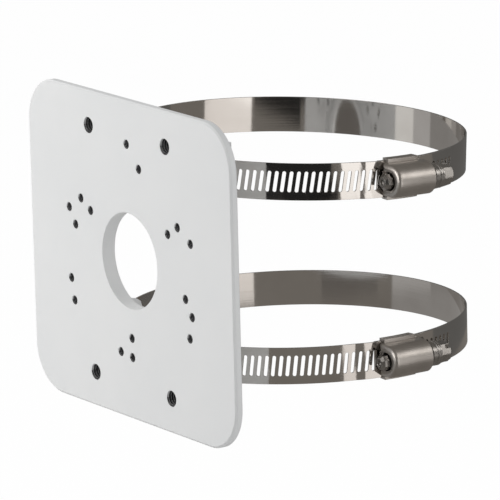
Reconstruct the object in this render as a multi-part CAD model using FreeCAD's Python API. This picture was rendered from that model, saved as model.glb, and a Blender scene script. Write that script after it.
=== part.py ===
import FreeCAD, Part
import math
import os

from FreeCAD import Placement, Rotation, Vector

# Camera pole mount bracket: one cast plate with two V cradles on its back, and
# two worm-drive band clamps that pass through the cradles and go round the pole.
# Millimetres. The origin is the centre of the cable hole on the front face,
# +X runs to the right seen from the front, +Y towards the pole, +Z up.

# Plate
plate_width = 154.0
plate_height = 140.0
plate_thickness = 3.2
plate_corner_radius = 20.0
front_edge_chamfer = 0.8

# Cable hole and the collar round it
cable_hole_radius = 21.0
collar_wall = 3.6
collar_height = 6.3

# Small tapped holes, M4
small_hole_radius = 2.0
small_boss_wall = 2.5
small_boss_height = 6.3
boss_join_distance = 13.5
circle_a_diameter = 68.0
circle_b_diameter = 85.0
circle_c_diameter = 102.0
circle_d_diameter = 85.0
circle_d_first_angle = 78.0
tripod_first_angle = 90.0
rectangle_e_width = 92.4
rectangle_e_height = 31.6

# Four large tapped holes near the corners, M8
corner_hole_radius = 3.5
corner_boss_wall = 3.4
corner_boss_height = 12.0
corner_spacing_x = 58.06
corner_spacing_z = 109.32

# V cradles on the back of the plate
cradle_height_from_centre = 41.1
cradle_slot_height = 20.2
shelf_thickness = 3.0
cradle_half_width = 40.5
horn_depth = 27.5
horn_inner_x = 34.2
v_side_angle = 30.0
horn_corner_chamfer = 2.0
post_width = 4.0
post_depth = 3.4
post_setback = 0.3
post_inset = 0.6
rib_width = 2.5
rib_height = 6.3
rib_x = 33.1

# Band clamps: the hoop of each clamp
band_width = 15.8
band_thickness = 0.7
band_middle_radius = 75.0
layer_gap = 0.1
tail_angle = 28.0
tail_corner_cut = 2.6
under_housing_angle = 8.5
ramp_end_angle = 10.5
ramp_start_angle = 16.0

# Slots in the band
slot_pitch = 3.1
slot_width = 1.55
slot_length = 9.1
slot_lean = 7.0
slot_count = 40
first_slot_from_tail = 5.0

# Saddle that wraps the band and clips over the housing
sheet_clearance = 0.05
saddle_thickness = 0.8
saddle_half_angle = 5.9
saddle_lip_reach = 0.85

# Worm screw
worm_root_radius = 3.35
worm_crest_radius = 4.8
worm_crest_width = 0.9
worm_root_width = 1.7
worm_band_clearance = 0.2
worm_start = -7.0
worm_length = 14.0
worm_steps_per_turn = 8
worm_ridge_sunk = 0.4
tip_end = -13.7
tip_chamfer = 1.15
collar_start = 11.4
collar_ring_radius = 5.4
collar_groove_depth = 0.45
collar_ring_length = 2.0
collar_groove_length = 0.8
collar_ring_count = 2
head_flats = 8.0
head_length = 5.6
head_chamfer = 0.5
driver_slot_width = 1.3
driver_slot_depth = 2.0

# Housing over the worm
housing_length = 20.0
housing_outer_radius = 7.1
housing_wall = 1.0
housing_front_wall = 1.1
housing_front_roll = 1.9
tip_opening_clearance = 0.6
flange_thickness = 0.9
flange_inset = 1.0
opening_overrun = 1.0

# How each clamp hangs in its cradle: the gap to the horn posts that hold its strip
# in, how far the strip runs below the cradle's middle, the slopes of its plane, and
# where its worm is
upper_hoop = {
    "post_gap": 1.13, "drop": 0.54, "slope_x": -0.0089, "slope_y": -0.0427,
    "housing_angle": 1.0, "screw_turn": 8.0,
}
lower_hoop = {
    "post_gap": 1.98, "drop": 0.69, "slope_x": 0.0187, "slope_y": -0.0096,
    "housing_angle": -0.5, "screw_turn": 35.0,
}

# Sizes that follow from the ones above
band_inner = band_middle_radius - band_thickness / 2
band_outer = band_middle_radius + band_thickness / 2
layer_step = band_thickness + layer_gap
tail_inner = band_inner + layer_step
tail_outer = band_outer + layer_step
worm_axis_radius = tail_outer + worm_band_clearance + worm_crest_radius
slot_step = math.degrees(slot_pitch / band_middle_radius)
flange_inner = tail_outer + sheet_clearance
flange_outer = flange_inner + flange_thickness
post_front = horn_depth - post_setback - post_depth
post_outer_x = horn_inner_x + post_inset + post_width

X_AXIS = Vector(1, 0, 0)
Y_AXIS = Vector(0, 1, 0)
Z_AXIS = Vector(0, 0, 1)
ORIGIN = Vector(0, 0, 0)


def polar(radius, degrees):
    """Point at a radius and an angle about the Z axis."""
    angle = math.radians(degrees)
    return Vector(radius * math.cos(angle), radius * math.sin(angle), 0)


def arc(start, middle, end):
    return Part.Arc(start, middle, end).toShape()


def line(start, end):
    return Part.LineSegment(start, end).toShape()


def face_of(edges):
    return Part.Face(Part.Wire(edges))


def cylinder_y(radius, length, x, z, start=0.0):
    """Round bar along +Y."""
    return Part.makeCylinder(radius, length, Vector(x, start, z), Y_AXIS)


def circle_places(diameter, count, first_angle):
    """Centres of evenly spaced holes on a circle round the cable hole, as (x, z)."""
    points = [polar(diameter / 2, first_angle + 360.0 * i / count) for i in range(count)]
    return [(point.x, point.y) for point in points]


def rectangle_places(width, height):
    return [(sx * width / 2, sz * height / 2) for sx in (-1, 1) for sz in (-1, 1)]


def small_hole_places():
    turned_angle = tripod_first_angle + 180.0
    places = circle_places(circle_a_diameter, 3, turned_angle)
    places += circle_places(circle_b_diameter, 3, turned_angle)
    places += circle_places(circle_c_diameter, 3, tripod_first_angle)
    places += circle_places(circle_d_diameter, 4, circle_d_first_angle)
    places += rectangle_places(rectangle_e_width, rectangle_e_height)
    return places


def rounded_plate():
    """Flat plate with rounded corners and a broken front edge."""
    plate = Part.makeBox(plate_width, plate_thickness, plate_height,
                         Vector(-plate_width / 2, 0, -plate_height / 2))
    corners = [e for e in plate.Edges if e.BoundBox.YLength > plate_thickness / 2]
    plate = plate.makeFillet(plate_corner_radius, corners)
    front = [e for e in plate.Edges if e.BoundBox.YMax < plate_thickness / 2]
    return plate.makeChamfer(front_edge_chamfer, front)


def v_edge_y(x):
    """Depth of the V's edge at a distance x from the middle."""
    return horn_depth - (horn_inner_x - abs(x)) * math.tan(math.radians(v_side_angle))


def shelf_face():
    """Outline of one cradle shelf: a V between two horns, rooted in the plate."""
    root = plate_thickness / 2
    right = [
        Vector(0, v_edge_y(0), 0), Vector(horn_inner_x, horn_depth, 0),
        Vector(cradle_half_width, horn_depth, 0), Vector(cradle_half_width, root, 0),
    ]
    left = [Vector(-p.x, p.y, 0) for p in reversed(right[1:])]
    points = right + left
    return Part.Face(Part.makePolygon(points + [points[0]]))


def shelf(bottom_z):
    slab = shelf_face().extrude(Vector(0, 0, shelf_thickness))
    tips = [e for e in slab.Edges
            if e.BoundBox.ZLength > shelf_thickness / 2 and e.BoundBox.YMin > horn_depth - 1e-3]
    slab = slab.makeChamfer(horn_corner_chamfer, tips)
    slab.translate(Vector(0, 0, bottom_z))
    return slab


def cradle(middle_z):
    """Two V shelves with a post at each horn that holds the band in."""
    half = cradle_slot_height / 2
    pieces = [shelf(middle_z + half), shelf(middle_z - half - shelf_thickness)]
    for side in (-1, 1):
        x = side * (post_outer_x - post_width / 2) - post_width / 2
        height = cradle_slot_height + shelf_thickness
        pieces.append(Part.makeBox(post_width, post_depth, height,
                                   Vector(x, post_front, middle_z - height / 2)))
    return pieces


def stiffening_rib(x):
    """Upright rib that joins the two cradles across the back of the plate."""
    reach = cradle_height_from_centre - cradle_slot_height / 2 - shelf_thickness / 2
    root = plate_thickness / 2
    return Part.makeBox(rib_width, rib_height - root, 2 * reach, Vector(x - rib_width / 2, root, -reach))


def boss_bar(first, second, reach):
    """Raised bar on the back of the plate that carries two neighbouring holes."""
    (ax, az), (bx, bz) = first, second
    length = math.hypot(bx - ax, bz - az)
    height = small_boss_height - plate_thickness / 2
    bar = Part.makeBox(length + 2 * reach, height, 2 * reach, Vector(-reach, plate_thickness / 2, -reach))
    bar.rotate(ORIGIN, Y_AXIS, -math.degrees(math.atan2(bz - az, bx - ax)))
    bar.translate(Vector(ax, 0, az))
    return bar


def small_bosses():
    """Bars over holes that lie close together, and a round boss for one that stands alone."""
    reach = small_hole_radius + small_boss_wall
    places = small_hole_places()
    bosses = []
    for i, place in enumerate(places):
        gaps = [math.hypot(place[0] - x, place[1] - z) for x, z in places]
        bosses += [boss_bar(place, places[k], reach) for k in range(i) if gaps[k] < boss_join_distance]
        if min(gaps[:i] + gaps[i + 1:]) >= boss_join_distance:
            bosses.append(cylinder_y(reach, small_boss_height - plate_thickness / 2, *place,
                                     start=plate_thickness / 2))
    return bosses


def make_mount_plate():
    body = rounded_plate()
    root = plate_thickness / 2
    added = [cylinder_y(cable_hole_radius + collar_wall, collar_height - root, 0, 0, start=root)]
    added += small_bosses()
    cuts = [cylinder_y(cable_hole_radius, collar_height, 0, 0)]
    cuts += [cylinder_y(small_hole_radius, small_boss_height, x, z) for x, z in small_hole_places()]
    for x, z in rectangle_places(corner_spacing_x, corner_spacing_z):
        added.append(cylinder_y(corner_hole_radius + corner_boss_wall, corner_boss_height - root, x, z,
                                start=root))
        cuts.append(cylinder_y(corner_hole_radius, corner_boss_height, x, z))
    for side in (-1, 1):
        added += cradle(side * cradle_height_from_centre)
        added.append(stiffening_rib(side * rib_x))
    return body.fuse(added).removeSplitter().cut(cuts)


def bend_angles():
    """Angles of the strip's bends: it stays flat over a slot and bends between slots."""
    first = tail_angle - math.degrees(first_slot_from_tail / band_middle_radius)
    return [first + slot_step * (0.5 - i) for i in range(slot_count + 1)]


def lift(degrees):
    """How far the strip has stepped out over its first layer at an angle near the housing."""
    share = (degrees + ramp_start_angle) / (ramp_start_angle - ramp_end_angle)
    return layer_step * min(1.0, max(0.0, share))


def hoop_side(base):
    """One side of the strip, from its inner end once round to the end of its tail."""
    bends = bend_angles()
    begin, last = -under_housing_angle, bends[-1] + 360.0
    middle = (begin + last) / 2
    edges = [
        arc(polar(base, begin), polar(base, (begin + middle) / 2), polar(base, middle)),
        arc(polar(base, middle), polar(base, (middle + last) / 2), polar(base, last)),
    ]
    corners = [polar(base + lift(a), a) for a in reversed(bends)]
    corners.append(polar(base + layer_step, tail_angle))
    return edges + [line(near, far) for near, far in zip(corners, corners[1:])]


def slot_cutter(degrees):
    """One slanted slot through the strip at an angle round the hoop."""
    over_first_layer = degrees > -under_housing_angle - slot_step
    start = tail_inner - layer_gap / 2 if over_first_layer else band_inner - band_thickness
    depth = tail_outer + band_thickness - start
    cutter = Part.makeBox(depth, slot_width, slot_length, Vector(0, -slot_width / 2, -slot_length / 2))
    cutter.rotate(ORIGIN, X_AXIS, -slot_lean)
    cutter.translate(Vector(start, 0, 0))
    cutter.rotate(ORIGIN, Z_AXIS, degrees)
    return cutter


def tail_corner(side):
    """Wedge that takes one corner off the end of the tail."""
    over = opening_overrun
    edge = band_width / 2
    wedge = [(-tail_corner_cut - over, edge + over), (over, edge + over),
             (over, edge - tail_corner_cut - over)]
    outline = [Vector(tail_inner - layer_gap / 2, y, side * z) for y, z in wedge]
    cutter = Part.Face(Part.makePolygon(outline + [outline[0]])).extrude(Vector(layer_step, 0, 0))
    cutter.rotate(ORIGIN, Z_AXIS, tail_angle)
    return cutter


def make_band():
    ends = [line(polar(band_inner, -under_housing_angle), polar(band_outer, -under_housing_angle)),
            line(polar(tail_inner, tail_angle), polar(tail_outer, tail_angle))]
    hoop = face_of(Part.__sortEdges__(hoop_side(band_inner) + hoop_side(band_outer) + ends))
    hoop = hoop.extrude(Vector(0, 0, band_width))
    hoop.translate(Vector(0, 0, -band_width / 2))
    cutters = [slot_cutter(a - slot_step / 2) for a in bend_angles()[:-1]]
    return hoop.cut(cutters + [tail_corner(-1), tail_corner(1)])


def turned_sector(points, half_angle):
    """Sheet section given as (radius, z), bent round the hoop axis."""
    outline = [Vector(r, 0, z) for r, z in points]
    section = Part.Face(Part.makePolygon(outline + [outline[0]]))
    section.rotate(ORIGIN, Z_AXIS, -half_angle)
    return section.revolve(ORIGIN, Z_AXIS, 2 * half_angle)


def make_saddle():
    """Curved strip under the band, with walls and lips over the housing's flanges."""
    inner = band_inner - sheet_clearance
    wall_in = band_width / 2 + 2 * sheet_clearance
    wall_out = wall_in + saddle_thickness
    lip_in = flange_outer + sheet_clearance
    lip_out = lip_in + saddle_thickness
    base_r = inner - saddle_thickness
    lip_z = wall_in - saddle_lip_reach
    half = [(inner, wall_in), (lip_in, wall_in), (lip_in, lip_z), (lip_out, lip_z),
            (lip_out, wall_out), (base_r, wall_out)]
    return turned_sector(half + [(r, -z) for r, z in reversed(half)], saddle_half_angle)


def arch(radius, y_start, length):
    """Arched bar along +Y over the worm axis, with legs down past the band."""
    foot = band_inner
    centre = worm_axis_radius
    edges = [
        line(Vector(foot, 0, -radius), Vector(centre, 0, -radius)),
        arc(Vector(centre, 0, -radius), Vector(centre + radius, 0, 0), Vector(centre, 0, radius)),
        line(Vector(centre, 0, radius), Vector(foot, 0, radius)),
        line(Vector(foot, 0, radius), Vector(foot, 0, -radius)),
    ]
    bar = face_of(edges).extrude(Vector(0, length, 0))
    bar.translate(Vector(0, y_start, 0))
    return bar


def make_housing():
    """Pressed hood over the worm, its front edge rolled in round the screw tip."""
    front = -housing_length / 2
    hood = arch(housing_outer_radius, front, housing_length)
    rim = [e for e in hood.Edges
           if abs(e.BoundBox.YMax - front) < 1e-6 and e.BoundBox.XMax > worm_axis_radius - 1e-6]
    hood = hood.makeChamfer(housing_front_roll, rim)
    bore = arch(housing_outer_radius - housing_wall, front + housing_front_wall, housing_length)
    opening_radius = worm_root_radius + tip_opening_clearance
    opening = arch(opening_radius, front - opening_overrun, housing_front_wall + 2 * opening_overrun)
    hood = hood.cut([bore, opening])
    outer_z = band_width / 2
    inner_z = housing_outer_radius - flange_inset
    for side in (-1, 1):
        strip = [(flange_inner, side * inner_z), (flange_outer, side * inner_z),
                 (flange_outer, side * outer_z), (flange_inner, side * outer_z)]
        hood = hood.fuse(turned_sector(strip, saddle_half_angle))
    drum = Part.makeCylinder(flange_inner, 2 * band_width, Vector(0, 0, -band_width), Z_AXIS)
    return hood.cut(drum).removeSplitter()


def turned_bar(stations):
    """Turned bar about the Y axis from a list of (y, radius) stations."""
    outline = [Vector(0, stations[0][0], 0)] + [Vector(r, y, 0) for y, r in stations]
    outline.append(Vector(0, stations[-1][0], 0))
    section = Part.Face(Part.makePolygon(outline + [outline[0]]))
    return section.revolve(ORIGIN, Y_AXIS, 360.0)


def worm_thread():
    """One helical ridge whose pitch is that of the band's slots, in flat facets."""
    sunk = worm_root_radius - worm_ridge_sunk
    section = [(sunk, -worm_root_width / 2), (worm_crest_radius, -worm_crest_width / 2),
               (worm_crest_radius, worm_crest_width / 2), (sunk, worm_root_width / 2)]
    rings = []
    for i in range(round(worm_length / slot_pitch * worm_steps_per_turn) + 1):
        turns = i / worm_steps_per_turn
        a = 2 * math.pi * turns
        y = worm_start + slot_pitch * turns
        rings.append([Vector(r * math.cos(a), y + dy, -r * math.sin(a)) for r, dy in section])
    loops = [rings[0], rings[-1]]
    for near, far in zip(rings, rings[1:]):
        for k in range(len(section)):
            j = (k + 1) % len(section)
            loops += [[near[k], near[j], far[j]], [near[k], far[j], far[k]]]
    shell = Part.Shell([Part.Face(Part.makePolygon(loop + [loop[0]])) for loop in loops])
    return Part.Solid(shell)


def prism_y(corner_radius, sides, start, length):
    """Regular prism along +Y with a corner on +X."""
    corners = []
    for i in range(sides):
        a = 2 * math.pi * i / sides
        corners.append(Vector(corner_radius * math.cos(a), start, -corner_radius * math.sin(a)))
    return Part.Face(Part.makePolygon(corners + [corners[0]])).extrude(Vector(0, length, 0))


def chamfered_end(bar, end, size):
    """Prism with the edges of the face at y = end broken."""
    rim = [e for e in bar.Edges if abs(e.BoundBox.YMin - end) + abs(e.BoundBox.YMax - end) < 1e-6]
    return bar.makeChamfer(size, rim)


def hex_head(start):
    across_corners = head_flats / math.cos(math.pi / 6)
    end = start + head_length
    prism = chamfered_end(prism_y(across_corners / 2, 6, start, head_length), end, head_chamfer)
    slot = Part.makeBox(across_corners, driver_slot_depth, driver_slot_width,
                        Vector(-across_corners / 2, end - driver_slot_depth, -driver_slot_width / 2))
    return prism.cut(slot)


def make_worm_screw(turn):
    """Worm, ridged collar and slotted hexagon head in one turned piece."""
    core = prism_y(worm_root_radius, worm_steps_per_turn, tip_end, collar_start - tip_end)
    core = chamfered_end(core, tip_end, tip_chamfer)
    stations = []
    y = collar_start
    for i in range(collar_ring_count):
        stations += [(y, collar_ring_radius), (y + collar_ring_length, collar_ring_radius)]
        y += collar_ring_length
        if i < collar_ring_count - 1:
            stations.append((y + collar_groove_length / 2, collar_ring_radius - collar_groove_depth))
            y += collar_groove_length
    screw = core.fuse([worm_thread(), turned_bar(stations), hex_head(y)])
    screw.rotate(ORIGIN, Y_AXIS, turn)
    screw.translate(Vector(worm_axis_radius, 0, 0))
    return screw


def hoop_placement(hoop, cradle_z):
    """Placement that carries a clamp drawn flat about Z to its sloping hoop."""
    behind_posts = math.sqrt(band_inner ** 2 - post_outer_x ** 2)
    rise = hoop["slope_y"] * band_middle_radius
    centre = Vector(0, post_front - hoop["post_gap"] + behind_posts, cradle_z - hoop["drop"] + rise)
    normal = Vector(-hoop["slope_x"], -hoop["slope_y"], 1.0).normalize()
    across = Vector(1.0, 0.0, hoop["slope_x"]).normalize()
    tilt = Rotation(across, normal.cross(across), normal, "ZXY")
    return Placement(centre, tilt.multiply(Rotation(Z_AXIS, hoop["housing_angle"])))


def build():
    nodes = {"mount_plate": make_mount_plate()}
    for name, hoop, side in (("upper", upper_hoop, 1), ("lower", lower_hoop, -1)):
        place = hoop_placement(hoop, side * cradle_height_from_centre)
        pieces = {
            "band": make_band(), "saddle": make_saddle(), "housing": make_housing(),
            "worm_screw": make_worm_screw(hoop["screw_turn"]),
        }
        for piece, shape in pieces.items():
            shape.Placement = place.multiply(shape.Placement)
            nodes[name + "_" + piece] = shape
    return nodes


os.makedirs("parts", exist_ok=True)
for node, solid in build().items():
    print(node, "valid" if solid.isValid() else "NOT VALID", len(solid.Solids), "solid",
          round(solid.Volume, 1), "mm3")
    solid.exportStep("parts/" + node + ".step")
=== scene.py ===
import math

import bmesh
import bpy
from mathutils import Matrix, Vector


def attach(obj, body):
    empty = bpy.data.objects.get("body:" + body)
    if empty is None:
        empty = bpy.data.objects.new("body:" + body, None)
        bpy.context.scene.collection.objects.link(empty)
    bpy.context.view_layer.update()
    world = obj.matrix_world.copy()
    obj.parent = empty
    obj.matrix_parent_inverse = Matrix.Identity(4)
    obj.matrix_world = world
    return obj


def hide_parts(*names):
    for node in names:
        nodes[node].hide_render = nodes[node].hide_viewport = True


# Looks of the camera pole mount bracket: white powder coat, tapped holes, bright
# stainless bands, satin pressed housings and turned worm screws. Lengths are metres,
# except where a clamp is drawn in millimetres round its own hoop. Angles in the
# tables are degrees.

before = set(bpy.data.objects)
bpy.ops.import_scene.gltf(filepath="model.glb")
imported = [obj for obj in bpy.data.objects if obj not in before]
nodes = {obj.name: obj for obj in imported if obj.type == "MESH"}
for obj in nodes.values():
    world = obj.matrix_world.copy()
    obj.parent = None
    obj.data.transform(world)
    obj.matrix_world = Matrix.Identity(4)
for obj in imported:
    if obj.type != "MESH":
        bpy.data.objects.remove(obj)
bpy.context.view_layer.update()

MM = 0.001

# Camera, fitted to the photograph
CAMERA_PLACE = Vector((1.688842, -1.113319, 0.489706))
CAMERA_RIGHT = Vector((0.57590572, 0.81717291, -0.02368625))
CAMERA_UP = Vector((-0.17782886, 0.15350003, 0.97201576))
CAMERA_REACH = 50.0
FOCAL_PIXELS = 4883.13
IMAGE_PIXELS = 500
SENSOR_MM = 36.0

# Tapped holes of the plate, as in the CAD source: taps as (radius, depth, pitch),
# circles and rectangles in millimetres
SMALL_TAP = (2.0 * MM, 6.3 * MM, 0.7 * MM)
LARGE_TAP = (3.5 * MM, 12.0 * MM, 1.25 * MM)
TRIPOD = (90.0, 210.0, 330.0)
TURNED_TRIPOD = (150.0, 270.0, 30.0)
CROSS = (78.0, 168.0, 258.0, 348.0)
CIRCLES = [(68.0, TURNED_TRIPOD), (85.0, TURNED_TRIPOD), (102.0, TRIPOD), (85.0, CROSS)]
RECTANGLE = (92.4, 31.6)
CORNERS = (58.06, 109.32)

# Thread ridges in these holes, with greys that paint shade on their flanks and a highlight on
# their crests
THREAD_STEPS = 20
THREAD_LEAD = 0.3 * MM
THREAD_EDGE = 0.05 * MM
THREAD_SEAT = 0.02 * MM
# Painted shade: near-black flank greys stand for the shade deep in the holes
FLANK_SHADE_GREYS = (0.02, 0.06)
# Painted highlight: pale crest greys stand for light catching the thread ridges
CREST_HIGHLIGHT_GREYS = (0.35, 0.55)

# Thread ridges, in shares of their pitch
THREAD_START = 0.1
THREAD_END = 0.7
THREAD_HEIGHT = 0.54
THREAD_HALF_ROOT = 0.48
THREAD_HALF_CREST = 0.12

# Band clamps, in millimetres about each hoop, as in the CAD source
HOOPS = {
    "upper": {"centre": (0.0, 86.4445, 37.3575), "slope": (-0.0089, -0.0427),
              "turn": 1.0, "screw": 100.0},
    "lower": {"centre": (0.0, 85.5945, -42.51), "slope": (0.0187, -0.0096),
              "turn": -0.5, "screw": 156.0},
}
BAND_WIDTH = 15.8
BAND_MIDDLE = 75.0
BAND_THICKNESS = 0.7
BAND_ROWS = (-5.6, -4.0, -2.0, 0.0, 2.0, 4.0, 5.6)
PLAIN_STEPS = 200
LAYER_STEP = 0.8
TAIL_ANGLE = 28.0
TAIL_CUT = 2.6
TAIL_PLAIN = 5.0
INNER_END = -8.5
RAMP = (-16.0, -10.5)
WELD = 1e-4

# Slots of the band
SLOT_PITCH = 3.1
SLOT_STEP = math.degrees(SLOT_PITCH / BAND_MIDDLE)
SLOT_WIDTH = 1.55
SLOT_LENGTH = 9.1
SLOT_LEAN = 7.0
SLOT_COUNT = 40
FIRST_SLOT = TAIL_ANGLE - math.degrees(TAIL_PLAIN / BAND_MIDDLE)

# Worm, with half widths of its ridge
WORM_CORE = 3.2
WORM_CREST = 4.8
WORM_HALF_ROOT = 0.85
WORM_HALF_CREST = 0.45
WORM_LENGTH = 14.0
WORM_STEPS = 32
WORM_CLEARANCE = 0.2
WORM_AXIS = BAND_MIDDLE + BAND_THICKNESS / 2 + LAYER_STEP + WORM_CLEARANCE + WORM_CREST

# Turned parts of the screw: (distance from the worm's middle, radius)
DRILLED_END = [(-12.3, 0.0), (-12.7, 1.15), (-13.5, 1.25), (-13.7, 1.45), (-13.7, 2.05)]
TIP = [(-13.69, 2.0), (-13.69, 2.3), (-12.55, 3.4), (-9.0, 3.4)]
TIP_SIDES = 8
STEM = [(-9.5, 3.3), (11.3, 3.3), (11.4, 3.6), (11.4, 5.15), (11.55, 5.4), (13.3, 5.4),
        (13.45, 5.25), (13.6, 5.0), (14.0, 5.0), (14.15, 5.25), (14.3, 5.4), (15.0, 5.4),
        (15.15, 5.2), (15.3, 5.4), (16.0, 5.4), (16.15, 5.25), (16.2, 4.3)]
HEAD_NECK = [(16.15, 0.0), (16.15, 4.2), (16.35, 4.45)]
HEAD_START = 16.5
HEAD_BREAK = 21.0
HEAD_END = 21.8
HEAD_FLATS = 8.0
HEAD_SEGMENTS = 96

# Chamfer of the head's end, and the driver slot sawn across it
CHAMFER_LENGTH = 0.8
CHAMFER_DEPTH = 0.9
CHAMFER_POWER = 1.4
CHAMFER_STEPS = 6
SAW_REACH = 12.0
SAW_WIDTH = 1.5
SAW_DEPTH = 2.8
SAW_TURN = math.radians(17.0)

# Hood over the worm; lip as (distance outside the opening, distance behind the front)
HOOD_RADIUS = 7.1
HOOD_WALL = 1.0
HOOD_HALF = 10.0
HOOD_ROLL = 1.9
HOOD_LOBE = 1.6
HOOD_BREAK = 0.15
HOOD_STATIONS = (4.0, -2.0)
HOOD_LIP = [(0.25, 0.0), (0.06, 0.08), (0.0, 0.3), (0.0, 0.95), (0.1, 1.1)]
HOOD_FRONT_WALL = 1.1
HOOD_INNER_BEND = (0.3, 0.2)
HOOD_INNER_BREAK = 0.1
OPENING_RADIUS = 3.95
ROLL_STEPS = 8
LEG_STEPS = 4
ARCH_STEPS = 28
FOOT_RISE = 0.4

# Flanges of the hood, bent round the hoop
FLANGE_RADII = (76.2, 77.1)
FLANGE_EDGES = (6.1, 7.9)
FLANGE_HALF_ANGLE = 5.9
FLANGE_BREAK = 0.12
FLANGE_STEPS = 14

# Floor, sky and lamps: (name, place, size, watts)
FLOOR_HEIGHT = -0.19
FLOOR_HALF = 8.0
FLOOR_GLOW = 0.98
SKY_TINT = (0.97, 0.985, 1.0)
SKY_STRENGTH = 0.6
LAMPS = [("key", (-0.7, -0.55, 0.4), 0.5, 5.45), ("fill", (1.6, 0.6, 0.6), 1.2, 3.5)]

# Tent that the metal mirrors: panels as (name, from, to, low, high, shade), grounds
# as (name, from, to, shade), with compass angles counted from +X
TENT_MIDDLE = 0.08
TENT_RADIUS = 0.62
TENT_HEIGHT = 0.7
TENT_SHADE = (0.2, 0.185, 0.168)
PANEL_INSET = 0.03
PANEL_STEP = 4
GROUND_LIFT = 0.001
DISC_STEP = 10
PANELS = [
    ("white_panel", -5.5, 27.0, -0.088, 0.12, (1.35, 1.31, 1.27)),
    ("white_foot", -5.5, 31.0, FLOOR_HEIGHT, -0.088, (0.98, 0.93, 0.89)),
    ("right_panel", 62.0, 149.0, FLOOR_HEIGHT, 0.3, (0.13, 0.127, 0.122)),
    ("black_panel", -54.0, -11.5, -0.072, 0.25, (0.02, 0.02, 0.02)),
    ("black_foot", -41.0, -7.5, -0.086, -0.072, (0.01, 0.01, 0.01)),
    ("left_panel", -98.0, -55.0, FLOOR_HEIGHT, 0.04, (0.14, 0.13, 0.12)),
    ("side_panel", -131.0, -113.0, -0.12, 0.3, (0.76, 0.75, 0.73)),
    ("side_fade", -149.0, -131.0, -0.12, 0.3, (0.46, 0.45, 0.44)),
    ("side_foot", -149.0, -111.0, FLOOR_HEIGHT, -0.12, (0.44, 0.43, 0.42)),
    ("back_panel", -211.0, -149.0, FLOOR_HEIGHT, 0.3, (0.27, 0.26, 0.25)),
    ("soft_panel", 14.0, 64.0, 0.2, 0.47, (1.8, 1.73, 1.65)),
    ("glint_panel", -113.0, -60.0, 0.04, 0.5, (3.1, 3.0, 2.9)),
]
GROUNDS = [("tent_ground", -110, 150, TENT_SHADE), ("back_ground", -210, -110, (0.3, 0.29, 0.28))]


def polar(radius, degrees):
    """Point at an angle on a circle about the origin."""
    a = math.radians(degrees)
    return radius * math.cos(a), radius * math.sin(a)


def new_object(mesh, name):
    """Object made of a finished mesh, which is used up."""
    data = bpy.data.meshes.new(name)
    mesh.to_mesh(data)
    mesh.free()
    piece = bpy.data.objects.new(name, data)
    bpy.context.collection.objects.link(piece)
    return piece


def skin(mesh, rows, closed=False):
    """Faces between neighbouring rows of vertices, each row open or a closed loop."""
    faces = []
    for near, far in zip(rows, rows[1:]):
        for k in range(len(near) if closed else len(near) - 1):
            j = (k + 1) % len(near)
            faces.append(mesh.faces.new((near[k], near[j], far[j], far[k])))
    return faces


def new_material(name):
    material = bpy.data.materials.new(name)
    material.use_nodes = True
    tree = material.node_tree
    return material, tree, tree.nodes["Principled BSDF"]


def coordinates(tree, scale=(1.0, 1.0, 1.0)):
    """Object coordinates, stretched by a scale along each axis."""
    source = tree.nodes.new("ShaderNodeTexCoord")
    mapping = tree.nodes.new("ShaderNodeMapping")
    mapping.inputs["Scale"].default_value = scale
    tree.links.new(source.outputs["Object"], mapping.inputs["Vector"])
    return mapping.outputs["Vector"]


def noise(tree, vector, scale, detail, roughness=0.5):
    node = tree.nodes.new("ShaderNodeTexNoise")
    node.inputs["Scale"].default_value = scale
    node.inputs["Detail"].default_value = detail
    node.inputs["Roughness"].default_value = roughness
    tree.links.new(vector, node.inputs["Vector"])
    return node.outputs["Fac"]


def colour_ramp(tree, factor, stops):
    """Colour ramp from two (position, colour) stops."""
    node = tree.nodes.new("ShaderNodeValToRGB")
    for element, (position, colour) in zip(node.color_ramp.elements, stops):
        element.position = position
        element.color = (*colour, 1.0)
    tree.links.new(factor, node.inputs["Fac"])
    return node.outputs["Color"]


def spread(tree, factor, low, high):
    """Maps a 0 to 1 factor to a range."""
    node = tree.nodes.new("ShaderNodeMapRange")
    node.inputs["To Min"].default_value = low
    node.inputs["To Max"].default_value = high
    tree.links.new(factor, node.inputs["Value"])
    return node.outputs["Result"]


def bump(tree, height, distance, strength, after=None):
    """Normal from a height, on top of another normal if there is one."""
    node = tree.nodes.new("ShaderNodeBump")
    node.inputs["Strength"].default_value = strength
    node.inputs["Distance"].default_value = distance
    tree.links.new(height, node.inputs["Height"])
    if after is not None:
        tree.links.new(after, node.inputs["Normal"])
    return node.outputs["Normal"]


def soft_edges(tree, radius):
    """Normal that rounds sharp edges a little."""
    node = tree.nodes.new("ShaderNodeBevel")
    node.samples = 4
    node.inputs["Radius"].default_value = radius
    return node.outputs["Normal"]


def link_surface(tree, shader, colour, roughness, normal):
    for socket, source in (("Base Color", colour), ("Roughness", roughness), ("Normal", normal)):
        tree.links.new(source, shader.inputs[socket])


def powder_coat():
    """Fine, slightly pebbled white coat, a little warmer in broad patches."""
    material, tree, shader = new_material("white_powder_coat")
    place = coordinates(tree)
    patches = noise(tree, place, scale=18.0, detail=3.0)
    stops = [(0.3, (0.755, 0.757, 0.752)), (0.7, (0.785, 0.783, 0.775))]
    colour = colour_ramp(tree, patches, stops)
    grain = noise(tree, place, scale=2200.0, detail=3.0, roughness=0.6)
    normal = bump(tree, grain, distance=0.00004, strength=0.5, after=soft_edges(tree, 0.0005))
    link_surface(tree, shader, colour, spread(tree, grain, 0.42, 0.6), normal)
    shader.inputs["Specular IOR Level"].default_value = 0.4
    return material


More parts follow.
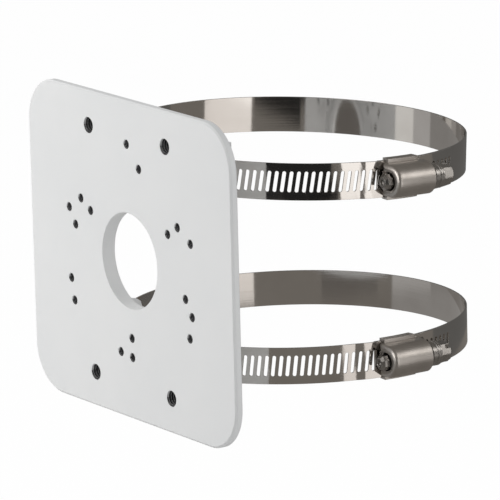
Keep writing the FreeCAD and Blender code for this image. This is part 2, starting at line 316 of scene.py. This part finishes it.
def tapped_metal(name, greys):
    """Cut thread of bare cast metal with tool marks, between two given greys, which are painted
    shade for the flanks and a painted highlight for the crests.
    """
    material, tree, shader = new_material(name)
    marks = noise(tree, coordinates(tree), scale=1500.0, detail=3.0)
    stops = [(position, (grey, grey, grey * 1.04)) for position, grey in zip((0.3, 0.75), greys)]
    colour = colour_ramp(tree, marks, stops)
    normal = bump(tree, marks, distance=0.00002, strength=0.5)
    link_surface(tree, shader, colour, spread(tree, marks, 0.3, 0.55), normal)
    shader.inputs["Metallic"].default_value = 0.35
    return material


def stainless(name, stretch, detail, cloud_scale, colours, roughness, height, strength, edge):
    """Bare steel with fine marks along one axis and a faint cloud between two colours."""
    material, tree, shader = new_material(name)
    marks = noise(tree, coordinates(tree, stretch), scale=1.0, detail=detail, roughness=0.6)
    cloud = noise(tree, coordinates(tree), scale=cloud_scale, detail=3.0)
    colour = colour_ramp(tree, cloud, list(zip((0.3, 0.7), colours)))
    normal = bump(tree, marks, height, strength, after=soft_edges(tree, edge))
    link_surface(tree, shader, colour, spread(tree, marks, *roughness), normal)
    shader.inputs["Metallic"].default_value = 1.0
    return material


def rolled_stainless():
    """Bright strip with fine rolling lines along its length."""
    return stainless("bright_stainless_strip", stretch=(6.0, 6.0, 1800.0), detail=4.0,
                     cloud_scale=45.0, colours=((0.62, 0.595, 0.57), (0.69, 0.67, 0.645)),
                     roughness=(0.03, 0.11), height=0.000006, strength=0.35, edge=0.00015)


def satin_stainless():
    """Pressed sheet, satin, with faint drawing marks."""
    return stainless("satin_stainless_pressing", stretch=(300.0, 40.0, 300.0), detail=4.0,
                     cloud_scale=150.0, colours=((0.52, 0.495, 0.47), (0.59, 0.565, 0.54)),
                     roughness=(0.32, 0.44), height=0.000015, strength=0.35, edge=0.0003)


def turned_stainless():
    """Turned screw with rings of tool marks round its axis."""
    return stainless("turned_stainless", stretch=(40.0, 3200.0, 40.0), detail=3.0,
                     cloud_scale=260.0, colours=((0.36, 0.35, 0.338), (0.45, 0.438, 0.425)),
                     roughness=(0.2, 0.34), height=0.00001, strength=0.2, edge=0.0002)


def dress(name, material):
    """Gives a CAD node its material."""
    slots = nodes[name].data.materials
    slots.clear()
    slots.append(material)


def four_corners(size):
    """(x, z) of a rectangle's corners about the plate's middle."""
    return [(sx * size[0] / 2, sz * size[1] / 2) for sx in (-1, 1) for sz in (-1, 1)]


def hole_places():
    """(x, z, radius, depth, pitch) of every tapped hole."""
    small = [polar(diameter / 2, degrees) for diameter, angles in CIRCLES for degrees in angles]
    small += four_corners(RECTANGLE)
    places = [(x * MM, z * MM, *SMALL_TAP) for x, z in small]
    places += [(x * MM, z * MM, *LARGE_TAP) for x, z in four_corners(CORNERS)]
    return places


def thread_ridge(mesh, x, z, radius, depth, pitch):
    """Helical V ridge that stands in from the wall of one hole; its crest is material 1, which
    carries a painted highlight.
    """
    crest = radius - THREAD_HEIGHT * pitch
    root = radius + THREAD_SEAT
    steps = int((depth - THREAD_LEAD - THREAD_END * pitch) / pitch * THREAD_STEPS)
    rows = []
    for i in range(steps + 1):
        a = math.pi + 2 * math.pi * i / THREAD_STEPS
        y = THREAD_LEAD + pitch * (THREAD_START + i / THREAD_STEPS)
        profile = [(root, max(THREAD_EDGE, y - THREAD_HALF_ROOT * pitch)),
                   (crest, y - THREAD_HALF_CREST * pitch),
                   (crest, y + THREAD_HALF_CREST * pitch),
                   (root, y + THREAD_HALF_ROOT * pitch)]
        rows.append([mesh.verts.new((x + r * math.cos(a), h, z + r * math.sin(a)))
                     for r, h in profile])
    for i, face in enumerate(skin(mesh, rows)):
        face.material_index = 1 if i % 3 == 1 else 0


def hole_threads(flank, crest):
    """Ridges of every tapped hole, with painted shade on the flanks and a painted highlight on
    the crest.
    """
    mesh = bmesh.new()
    for place in hole_places():
        thread_ridge(mesh, *place)
    piece = new_object(mesh, "hole_threads")
    piece.data.materials.append(flank)
    piece.data.materials.append(crest)
    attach(piece, "bracket")


def clamp_frame(side):
    """Matrix from a hoop's own millimetres to the row's metres."""
    hoop = HOOPS[side]
    slope_x, slope_y = hoop["slope"]
    normal = Vector((-slope_x, -slope_y, 1.0)).normalized()
    across = Vector((1.0, 0.0, slope_x)).normalized()
    tilt = Matrix((across, normal.cross(across), normal)).transposed().to_4x4()
    turn = Matrix.Rotation(math.radians(hoop["turn"]), 4, "Z")
    return Matrix.Translation(Vector(hoop["centre"]) * MM) @ tilt @ turn


def clamp_piece(mesh, name, side, body, node, material, sharp=40.0):
    """Turns a mesh in a hoop's millimetres into a piece that replaces its CAD node."""
    bmesh.ops.scale(mesh, vec=(MM, MM, MM), verts=mesh.verts)
    bmesh.ops.recalc_face_normals(mesh, faces=mesh.faces)
    piece = new_object(mesh, name)
    piece.data.shade_smooth()
    piece.data.set_sharp_from_angle(angle=math.radians(sharp))
    piece.data.materials.append(material)
    piece.matrix_world = clamp_frame(side)
    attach(piece, body)
    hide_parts(node)


def strip_lift(degrees):
    """How far the strip stands out over its first layer, with soft bends."""
    share = min(1.0, max(0.0, (degrees - 360.0 - RAMP[0]) / (RAMP[1] - RAMP[0])))
    return LAYER_STEP * share * share * (3.0 - 2.0 * share)


def on_strip(degrees, z, side):
    """Point on the strip's inner (-1) or outer (1) surface."""
    radius = BAND_MIDDLE + side * BAND_THICKNESS / 2 + strip_lift(degrees)
    return Vector((*polar(radius, degrees), z))


def slot_outline():
    """Matching points round one slot and round its stretch of strip, as (angle, z)."""
    half_step = SLOT_STEP / 2
    radius = SLOT_WIDTH / 2
    straight = SLOT_LENGTH / 2 - radius

    def round_end(middle, angles):
        return [(x, middle + z) for x, z in (polar(radius, degrees) for degrees in angles)]

    side = round_end(-straight, (-45.0, -22.5))
    side += [(radius, straight * share) for share in (-1.0, -0.5, 0.0, 0.5, 1.0)]
    side += [(x, -z) for x, z in reversed(side[:2])]
    side += round_end(straight, (67.5, 90.0, 112.5))
    slot = side + [(-x, -z) for x, z in side]
    edge = [(half_step, z) for z in (-BAND_WIDTH / 2, *BAND_ROWS, BAND_WIDTH / 2)]
    edge += [(half_step * share, BAND_WIDTH / 2) for share in (0.5, 0.0, -0.5)]
    edge += [(-a, -z) for a, z in edge]
    lean = math.radians(SLOT_LEAN)
    leaned = []
    for x, z in slot:
        along = x * math.cos(lean) + z * math.sin(lean)
        up = z * math.cos(lean) - x * math.sin(lean)
        leaned.append((math.degrees(along / BAND_MIDDLE), up))
    return leaned, edge


def band_strip(side, material):
    """Slotted strip from its inner end once round to its tail, with round-ended slots."""
    mesh = bmesh.new()
    slot, edge = slot_outline()
    count = len(slot)
    for i in range(SLOT_COUNT):
        middle = 360.0 + FIRST_SLOT - SLOT_STEP * i
        loops = []
        for face in (-1, 1):
            hole = [mesh.verts.new(on_strip(middle + a, z, face)) for a, z in slot]
            border = [mesh.verts.new(on_strip(middle + a, z, face)) for a, z in edge]
            skin(mesh, [hole, border], closed=True)
            loops.append((hole, border))
        (hole_in, edge_in), (hole_out, edge_out) = loops
        for k in range(count):
            j = (k + 1) % count
            mesh.faces.new((hole_in[k], hole_in[j], hole_out[j], hole_out[k]))
            if edge[k][1] == edge[j][1] and abs(edge[k][1]) == BAND_WIDTH / 2:
                mesh.faces.new((edge_in[k], edge_in[j], edge_out[j], edge_out[k]))
    heights = sorted({z for _, z in edge})
    slotted_from = 360.0 + FIRST_SLOT - SLOT_STEP * (SLOT_COUNT - 0.5)
    slotted_to = 360.0 + FIRST_SLOT + SLOT_STEP / 2
    plain = [INNER_END + (slotted_from - INNER_END) * i / PLAIN_STEPS
             for i in range(PLAIN_STEPS + 1)]
    stretch(mesh, [(a, 1.0) for a in plain], heights, (True, False))
    tail = 360.0 + TAIL_ANGLE
    cut = tail - math.degrees(TAIL_CUT / BAND_MIDDLE)
    end_share = 1.0 - TAIL_CUT / (BAND_WIDTH / 2)
    stretch(mesh, [(slotted_to, 1.0), (cut, 1.0), (tail, end_share)], heights, (False, True))
    bmesh.ops.remove_doubles(mesh, verts=mesh.verts, dist=WELD)
    clamp_piece(mesh, side + "_band_strip", side, side + "_clamp", side + "_band", material)


def stretch(mesh, columns, heights, ends):
    """Plain stretch of strip over (angle, share of the width) columns; ends says which close."""
    inner, outer = [
        [[mesh.verts.new(on_strip(a, z * share, face)) for z in heights] for a, share in columns]
        for face in (-1, 1)]
    skin(mesh, inner)
    skin(mesh, outer)
    for i in range(len(columns) - 1):
        for k in (0, len(heights) - 1):
            mesh.faces.new((inner[i][k], inner[i + 1][k], outer[i + 1][k], outer[i][k]))
    for i, wanted in zip((0, -1), ends):
        if wanted:
            skin(mesh, [inner[i], outer[i]])


def hood_ring(radius, y):
    """One arch of the hood at a distance along the worm, from foot to foot."""
    front = max(0.0, (HOOD_ROLL - HOOD_HALF - y) / HOOD_ROLL)
    lobe = HOOD_LOBE * (1.0 - math.sqrt(max(0.0, 1.0 - front * front)))
    foot = math.sqrt((FLANGE_RADII[0] + FOOT_RISE) ** 2 - y * y) + lobe
    points = [(foot + (WORM_AXIS - foot) * k / LEG_STEPS, -radius) for k in range(LEG_STEPS)]
    for k in range(ARCH_STEPS + 1):
        x, z = polar(radius, -90.0 + 180.0 * k / ARCH_STEPS)
        points.append((WORM_AXIS + x, z))
    points += [(x, -z) for x, z in reversed(points[:LEG_STEPS])]
    return [Vector((x, y, z)) for x, z in points]


def pressed_hood(side, material):
    """Hood over the worm with a rolled front edge, and its two flanges."""
    front = -HOOD_HALF
    outer = [(HOOD_RADIUS - HOOD_BREAK, HOOD_HALF), (HOOD_RADIUS, HOOD_HALF - HOOD_BREAK)]
    outer += [(HOOD_RADIUS, y) for y in HOOD_STATIONS]
    for k in range(ROLL_STEPS + 1):
        a = math.radians(90.0 * k / ROLL_STEPS)
        outer.append((HOOD_RADIUS - HOOD_ROLL * (1 - math.cos(a)),
                      front + HOOD_ROLL * (1 - math.sin(a))))
    mouth = [(OPENING_RADIUS + outside, front + behind) for outside, behind in HOOD_LIP]
    lining = HOOD_RADIUS - HOOD_WALL
    inside = [(HOOD_RADIUS - HOOD_ROLL - HOOD_INNER_BEND[0], front + HOOD_FRONT_WALL),
              (lining, front + HOOD_ROLL + HOOD_INNER_BEND[1]),
              (lining, HOOD_HALF - HOOD_INNER_BREAK),
              (lining + HOOD_INNER_BREAK, HOOD_HALF)]
    mesh = bmesh.new()
    rings = [[mesh.verts.new(p) for p in hood_ring(r, y)] for r, y in outer + mouth + inside]
    skin(mesh, rings + rings[:1])
    for foot in (0, -1):
        mesh.faces.new([ring[foot] for ring in rings])
    for sign in (-1, 1):
        flange(mesh, sign)
    clamp_piece(mesh, side + "_hood", side, side + "_clamp", side + "_housing", material)


def flange(mesh, sign):
    """Bar bent round the hoop on one side of the hood, with its long outer edges broken."""
    inner, outer = FLANGE_RADII
    low, high = FLANGE_EDGES
    section = [(inner, low), (outer - FLANGE_BREAK, low), (outer, low + FLANGE_BREAK),
               (outer, high - FLANGE_BREAK), (outer - FLANGE_BREAK, high), (inner, high)]
    rows = []
    for i in range(FLANGE_STEPS + 1):
        degrees = FLANGE_HALF_ANGLE * (2.0 * i / FLANGE_STEPS - 1.0)
        rows.append([mesh.verts.new((*polar(r, degrees), sign * z)) for r, z in section])
    skin(mesh, rows, closed=True)
    mesh.faces.new(rows[0])
    mesh.faces.new(rows[-1])


def lathe(mesh, stations, segments=64, limit=None):
    """Turned surface about Y from (y, radius) stations; limit caps the radius at an angle."""
    rings = []
    for y, radius in stations:
        if radius == 0.0:
            rings.append([mesh.verts.new((0.0, y, 0.0))])
            continue
        ring = []
        for k in range(segments):
            a = 2 * math.pi * k / segments
            r = min(radius, limit(a)) if limit else radius
            ring.append(mesh.verts.new((r * math.cos(a), y, -r * math.sin(a))))
        rings.append(ring)
    for near, far in zip(rings, rings[1:]):
        for k in range(segments):
            j = (k + 1) % segments
            corners = [near[k % len(near)], near[j % len(near)],
                       far[j % len(far)], far[k % len(far)]]
            mesh.faces.new(list(dict.fromkeys(corners)))


def worm_ridge(mesh):
    """Helical ridge of the worm, seated in its core and closed at both ends."""
    section = [(WORM_CORE, -WORM_HALF_ROOT), (WORM_CREST, -WORM_HALF_CREST),
               (WORM_CREST, WORM_HALF_CREST), (WORM_CORE, WORM_HALF_ROOT)]
    rows = []
    for i in range(round(WORM_LENGTH / SLOT_PITCH * WORM_STEPS) + 1):
        a = 2 * math.pi * i / WORM_STEPS
        y = SLOT_PITCH * i / WORM_STEPS - WORM_LENGTH / 2
        rows.append([mesh.verts.new((r * math.cos(a), y + dy, -r * math.sin(a)))
                     for r, dy in section])
    skin(mesh, rows)
    mesh.faces.new(rows[0])
    mesh.faces.new(rows[-1])


def flats(a):
    """Distance from the axis to the hexagon's side at an angle."""
    return HEAD_FLATS / 2 / math.cos((a + math.pi / 6) % (math.pi / 3) - math.pi / 6)


def head_blank():
    """Hexagon head, chamfered round its end, before it is sawn."""
    corners = flats(math.pi / 6)
    stations = HEAD_NECK + [(HEAD_START, corners), (HEAD_BREAK, corners)]
    for k in range(1, CHAMFER_STEPS + 1):
        stations.append((HEAD_BREAK + CHAMFER_LENGTH * k / CHAMFER_STEPS,
                         corners - CHAMFER_DEPTH * (k / CHAMFER_STEPS) ** CHAMFER_POWER))
    mesh = bmesh.new()
    lathe(mesh, stations + [(HEAD_END, 0.0)], HEAD_SEGMENTS, flats)
    bmesh.ops.recalc_face_normals(mesh, faces=mesh.faces)
    return new_object(mesh, "head_blank")


def head_saw():
    """Box that cuts the driver slot."""
    mesh = bmesh.new()
    bmesh.ops.create_cube(mesh, size=1.0)
    bmesh.ops.scale(mesh, vec=(SAW_REACH, 2 * SAW_DEPTH, SAW_WIDTH), verts=mesh.verts)
    turn = Matrix.Rotation(-SAW_TURN, 3, "Y")
    bmesh.ops.rotate(mesh, cent=(0.0, 0.0, 0.0), matrix=turn, verts=mesh.verts)
    bmesh.ops.translate(mesh, vec=(0.0, HEAD_END, 0.0), verts=mesh.verts)
    bmesh.ops.recalc_face_normals(mesh, faces=mesh.faces)
    return new_object(mesh, "head_saw")


def slotted_head(mesh):
    """Adds the hexagon head, sawn across for a screwdriver."""
    head, saw = head_blank(), head_saw()
    cut = head.modifiers.new("slot", "BOOLEAN")
    cut.operation = "DIFFERENCE"
    cut.solver = "EXACT"
    cut.object = saw
    sawn = head.evaluated_get(bpy.context.evaluated_depsgraph_get())
    mesh.from_mesh(bpy.data.meshes.new_from_object(sawn))
    for piece in (head, saw):
        bpy.data.objects.remove(piece)


def turned_screw(side, material):
    """Worm screw: drilled eight-sided tip, ridge, grooved collar and slotted hexagon head."""
    mesh = bmesh.new()
    lathe(mesh, DRILLED_END)
    lathe(mesh, TIP, TIP_SIDES)
    lathe(mesh, STEM)
    slotted_head(mesh)
    worm_ridge(mesh)
    bmesh.ops.recalc_face_normals(mesh, faces=mesh.faces)
    turn = Matrix.Rotation(math.radians(HOOPS[side]["screw"]), 4, "Y")
    place = Matrix.Translation((WORM_AXIS, 0.0, 0.0)) @ turn
    bmesh.ops.transform(mesh, matrix=place, verts=mesh.verts)
    clamp_piece(mesh, side + "_turned_screw", side, side + "_screw", side + "_worm_screw",
                material, 30.0)


def seen_directly(tree):
    """1 for camera, glossy and transmission rays."""
    path = tree.nodes.new("ShaderNodeLightPath")
    total = path.outputs["Is Camera Ray"]
    for name in ("Is Glossy Ray", "Is Transmission Ray"):
        add = tree.nodes.new("ShaderNodeMath")
        add.operation = "MAXIMUM"
        tree.links.new(total, add.inputs[0])
        tree.links.new(path.outputs[name], add.inputs[1])
        total = add.outputs["Value"]
    return total


def blend(tree, factor, first, second, output):
    """Mixes two shaders by a factor into an output node."""
    mix = tree.nodes.new("ShaderNodeMixShader")
    tree.links.new(factor, mix.inputs["Fac"])
    tree.links.new(first, mix.inputs[1])
    tree.links.new(second, mix.inputs[2])
    tree.links.new(mix.outputs["Shader"], tree.nodes[output].inputs["Surface"])


def pale_floor():
    """Wide floor, all but white to the camera and to metal, with a little shadow kept."""
    mesh = bmesh.new()
    corners = [(-FLOOR_HALF, -FLOOR_HALF), (FLOOR_HALF, -FLOOR_HALF),
               (FLOOR_HALF, FLOOR_HALF), (-FLOOR_HALF, FLOOR_HALF)]
    mesh.faces.new([mesh.verts.new((x, y, FLOOR_HEIGHT)) for x, y in corners])
    floor = new_object(mesh, "floor")
    material, tree, shader = new_material("pale_floor")
    shader.inputs["Base Color"].default_value = (0.8, 0.8, 0.8, 1.0)
    shader.inputs["Roughness"].default_value = 0.9
    glow = tree.nodes.new("ShaderNodeEmission")
    share = spread(tree, seen_directly(tree), 0.0, FLOOR_GLOW)
    blend(tree, share, shader.outputs["BSDF"], glow.outputs["Emission"], "Material Output")
    floor.data.materials.append(material)


def white_world():
    """Sky that is white where it is seen directly and soft light for all else."""
    world = bpy.data.worlds.new("studio")
    bpy.context.scene.world = world
    world.use_nodes = True
    tree = world.node_tree
    soft = tree.nodes["Background"]
    soft.inputs["Color"].default_value = (*SKY_TINT, 1.0)
    soft.inputs["Strength"].default_value = SKY_STRENGTH
    white = tree.nodes.new("ShaderNodeBackground")
    blend(tree, seen_directly(tree), soft.outputs["Background"], white.outputs["Background"],
          "World Output")


def lamp(name, place, size, watts):
    """Square soft box that faces the origin and that nothing mirrors."""
    data = bpy.data.lights.new(name, "AREA")
    data.shape = "SQUARE"
    data.size = size
    data.energy = watts
    light = bpy.data.objects.new(name, data)
    light.location = place
    light.rotation_euler = (-Vector(place)).to_track_quat("-Z", "Y").to_euler()
    light.visible_glossy = False
    light.visible_camera = False
    bpy.context.collection.objects.link(light)


def studio_card(name, pairs, shade):
    """Glowing card that only metal mirrors, spanned over pairs of points."""
    mesh = bmesh.new()
    skin(mesh, [[mesh.verts.new(point) for point in pair] for pair in pairs])
    board = new_object(mesh, name)
    material, tree, _ = new_material(name)
    glow = tree.nodes.new("ShaderNodeEmission")
    glow.inputs["Color"].default_value = (*shade, 1.0)
    tree.links.new(glow.outputs["Emission"], tree.nodes["Material Output"].inputs["Surface"])
    board.data.materials.append(material)
    board.visible_camera = False
    board.visible_diffuse = False
    board.visible_shadow = False


def around(degrees, radius, height):
    """Point on a circle about the tent's upright axis."""
    x, y = polar(radius, degrees)
    return x, TENT_MIDDLE + y, height


def wall(name, start, end, low, high, radius, shade):
    """Upright curved card between two compass angles."""
    steps = max(2, round((end - start) / PANEL_STEP))
    angles = [start + (end - start) * i / steps for i in range(steps + 1)]
    studio_card(name, [(around(a, radius, low), around(a, radius, high)) for a in angles], shade)


def disc(name, start, end, height, shade):
    """Level card from the tent's axis to its wall between two compass angles."""
    middle = (0.0, TENT_MIDDLE, height)
    angles = range(start, end + 1, DISC_STEP)
    studio_card(name, [(around(a, TENT_RADIUS, height), middle) for a in angles], shade)


def reflection_tent():
    """Dim warm tent with a lid, two grounds, and light and dark panels before its wall."""
    wall("tent_wall", 0.0, 360.0, FLOOR_HEIGHT, TENT_HEIGHT, TENT_RADIUS, TENT_SHADE)
    disc("tent_lid", 0, 360, TENT_HEIGHT, TENT_SHADE)
    for name, start, end, shade in GROUNDS:
        disc(name, start, end, FLOOR_HEIGHT + GROUND_LIFT, shade)
    for name, start, end, low, high, shade in PANELS:
        wall(name, start, end, low, high, TENT_RADIUS - PANEL_INSET, shade)


def photo_camera():
    """Camera from where the photograph was taken."""
    data = bpy.data.cameras.new("photo_camera")
    data.sensor_width = SENSOR_MM
    data.lens = FOCAL_PIXELS / IMAGE_PIXELS * SENSOR_MM
    data.clip_end = CAMERA_REACH
    camera = bpy.data.objects.new("photo_camera", data)
    back = CAMERA_RIGHT.cross(CAMERA_UP)
    turn = Matrix((CAMERA_RIGHT, CAMERA_UP, back)).transposed().to_4x4()
    camera.matrix_world = Matrix.Translation(CAMERA_PLACE) @ turn
    bpy.context.collection.objects.link(camera)
    bpy.context.scene.camera = camera


dress("mount_plate", powder_coat())
strip, pressing, turned = rolled_stainless(), satin_stainless(), turned_stainless()
for side in HOOPS:
    dress(side + "_saddle", pressing)
    band_strip(side, strip)
    pressed_hood(side, pressing)
    turned_screw(side, turned)
# Thread flanks carry painted shade, thread crests a painted highlight
hole_threads(tapped_metal("thread_flank_painted_shade", FLANK_SHADE_GREYS), tapped_metal("thread_crest_painted_highlight", CREST_HIGHLIGHT_GREYS))

pale_floor()
white_world()
reflection_tent()
for name, place, size, watts in LAMPS:
    lamp(name, place, size, watts)
photo_camera()
bpy.context.scene.view_settings.view_transform = "Standard"
